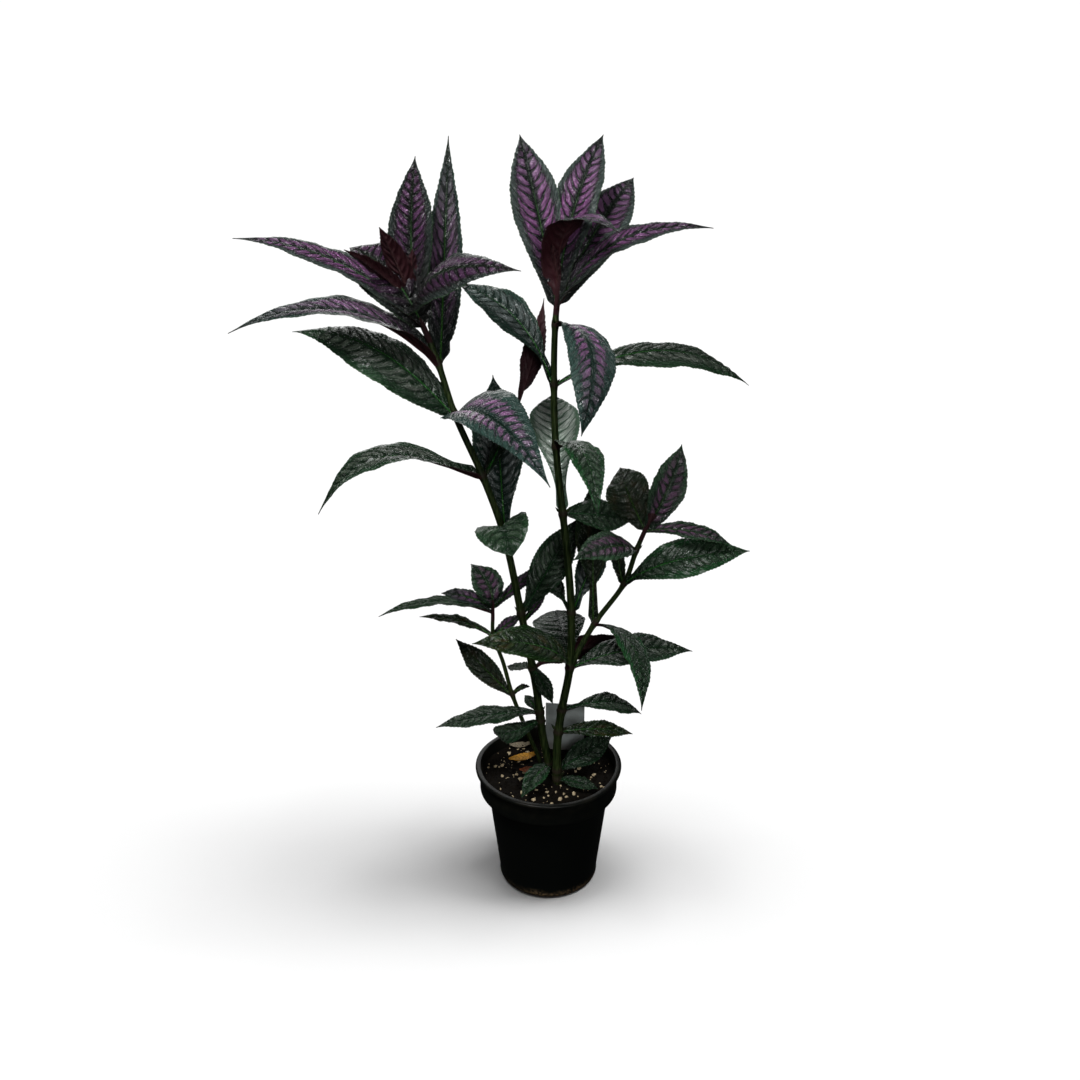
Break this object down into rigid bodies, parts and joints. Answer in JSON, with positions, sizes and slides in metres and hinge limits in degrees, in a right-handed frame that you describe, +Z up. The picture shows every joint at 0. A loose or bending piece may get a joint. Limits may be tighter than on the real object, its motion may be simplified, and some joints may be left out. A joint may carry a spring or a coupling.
{
  "type": "persian shield plant",
  "caption": "Upright foliage plant with long pointed purple and dark green veined leaves in opposite pairs on slender jointed stems, growing in soil in a round black nursery pot with a collar",
  "frame": {"origin": "middle of the underside of the pot", "axes": "+Z up, the plant is seen from -Y, +X to the viewer's right"},
  "size_m": [0.4781, 0.2002, 0.778],
  "materials": {
    "pot_plastic": "black moulded plastic, slightly satin, with a shiny rolled lip",
    "potting_soil": "dark peat mix with pale perlite grains",
    "label_plastic": "blank grey-white plastic plate",
    "stem": "olive green stem, browner at the foot",
    "young_leaf": "purple panels between dark veins, grey-green margin, maroon underside",
    "old_leaf": "dark green with silvery purple panels, bright green midrib, maroon underside",
    "dead_leaf": "dry yellow to brown leaf"
  },
  "bodies": {
    "root": {"fallen_leaf_orange": "dead_leaf", "fallen_leaf_pale": "dead_leaf", "fallen_leaf_yellow": "dead_leaf", "leaf_branch_310_front": "old_leaf", "leaf_branch_310_upright": "old_leaf", "leaf_branch_354_left": "old_leaf", "leaf_branch_354_right": "old_leaf", "leaf_branch_390_left": "young_leaf", "leaf_left_135_low": "old_leaf", "leaf_left_200_front": "old_leaf", "leaf_left_200_long": "old_leaf", "leaf_left_200_small": "old_leaf", "leaf_left_252_back": "old_leaf", "leaf_left_252_low": "old_leaf", "leaf_left_252_right": "old_leaf", "leaf_left_317_back": "old_leaf", "leaf_left_317_right": "old_leaf", "leaf_left_407_front": "old_leaf", "leaf_left_407_upright": "old_leaf", "leaf_left_466_arching": "old_leaf", "leaf_left_466_back": "old_leaf", "leaf_left_529_broad": "old_leaf", "leaf_left_529_front": "young_leaf", "leaf_left_577_arching": "old_leaf", "leaf_left_577_upright": "old_leaf", "leaf_right_148_low": "old_leaf", "leaf_right_148_right": "old_leaf", "leaf_right_187_right": "old_leaf", "leaf_right_213_right": "old_leaf", "leaf_right_262_left": "old_leaf", "leaf_right_262_right": "old_leaf", "leaf_right_262_upright": "old_leaf", "leaf_right_323_left": "old_leaf", "leaf_right_323_right": "old_leaf", "leaf_right_428_right": "old_leaf", "leaf_right_428_upright": "old_leaf", "leaf_right_496_front": "old_leaf", "leaf_right_556_left": "old_leaf", "leaf_right_556_right": "old_leaf", "leaf_right_614_hanging": "young_leaf", "leaf_side_212_left": "old_leaf", "leaf_side_212_right": "old_leaf", "leaf_side_282_left": "old_leaf", "leaf_side_282_right": "old_leaf", "plant_label": "label_plastic", "pot": "pot_plastic", "shoot_branch": "young_leaf", "shoot_left": "young_leaf", "shoot_right": "young_leaf", "shoot_side": "young_leaf", "soil": "potting_soil", "stem_left": "stem", "stem_right": "stem", "stem_side": "stem"}
  },
  "joints": []
}
